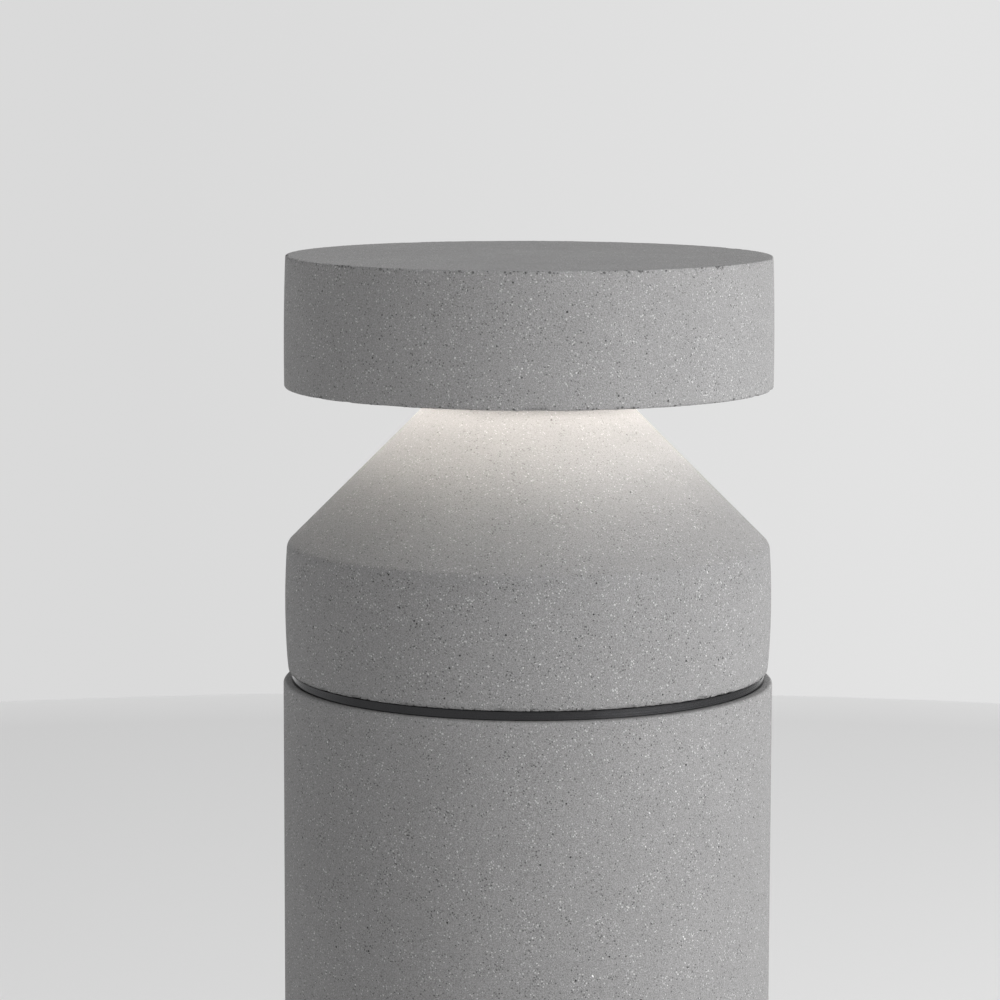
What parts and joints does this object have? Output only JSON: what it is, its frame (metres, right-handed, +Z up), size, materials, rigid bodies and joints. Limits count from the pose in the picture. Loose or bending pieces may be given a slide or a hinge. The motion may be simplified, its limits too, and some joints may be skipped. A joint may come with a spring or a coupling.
{
  "type": "bollard light",
  "caption": "Concrete garden bollard light: a hollow column, a drum with a 45 degree cone on it, and a thick round cap whose ring light shines down on the cone.",
  "frame": {"origin": "on the ground, on the column's axis", "axes": "+Z up along the column's axis, front towards -Y, +X to the right seen from the front"},
  "size_m": [0.25, 0.2498, 0.65],
  "materials": {
    "concrete": "fine sandblasted cast concrete, matt",
    "dark_aluminium": "black anodised, satin",
    "bare_aluminium": "machined, satin",
    "zinc_steel": "zinc plated",
    "stainless": "stainless, satin",
    "brass": "machined",
    "black_rubber": "matt",
    "dark_plastic": "fine grain",
    "white_plastic": "satin",
    "board_white": "white solder mask",
    "opal": "opal diffuser, lit warm white",
    "led_phosphor": "warm white phosphor",
    "thermal_pad": "matt",
    "earth_green": "green and yellow insulation"
  },
  "bodies": {
    "base": {"base_column": "concrete", "foot_seal": "black_rubber", "anchor_plate": "zinc_steel", "tie_rods": "zinc_steel", "tie_rod_washers": "zinc_steel", "tie_rod_nuts": "zinc_steel", "collar": "dark_aluminium", "collar_gasket": "black_rubber", "set_screws": "stainless", "gear_tray": "zinc_steel", "gear_tray_screws": "stainless", "led_driver": "bare_aluminium", "driver_end_caps": "dark_plastic", "driver_screws": "stainless", "terminal_box": "dark_plastic", "terminal_box_lid": "dark_plastic", "lid_gasket": "black_rubber", "lid_screws": "stainless", "terminal_block": "white_plastic", "supply_gland": "dark_plastic", "supply_gland_nut": "dark_plastic", "driver_gland": "dark_plastic", "driver_gland_nut": "dark_plastic", "driver_lead": "black_rubber", "earth_stud": "brass", "earth_nuts": "brass", "earth_lead": "earth_green", "socket_bridge": "zinc_steel", "socket_bridge_screws": "stainless", "connector_socket": "dark_plastic", "socket_lead": "black_rubber"},
    "head": {"head_block": "concrete", "block_inserts": "brass", "head_flange": "bare_aluminium", "flange_screws": "stainless", "plug_bridge": "zinc_steel", "plug_bridge_screws": "stainless", "connector_plug": "dark_plastic", "stem_tube": "bare_aluminium", "stem_nuts": "zinc_steel", "stem_washer": "zinc_steel", "neck_gasket": "black_rubber", "neck_spacer": "dark_aluminium", "cap": "concrete", "cap_inserts": "brass", "led_housing": "bare_aluminium", "housing_screws": "stainless", "thermal_pad": "thermal_pad", "led_board": "board_white", "led_chips": "led_phosphor", "board_screws": "stainless", "reflector_rings": "white_plastic", "diffuser": "opal", "diffuser_gaskets": "black_rubber", "outer_bezel": "dark_aluminium", "inner_bezel": "dark_aluminium", "bezel_screws": "stainless", "led_lead": "black_rubber"}
  },
  "joints": [
    {"name": "head_lift", "type": "slide", "parent": "base", "child": "head", "axis": [0, 0, 1], "range_m": [0, 0.15]}
  ]
}
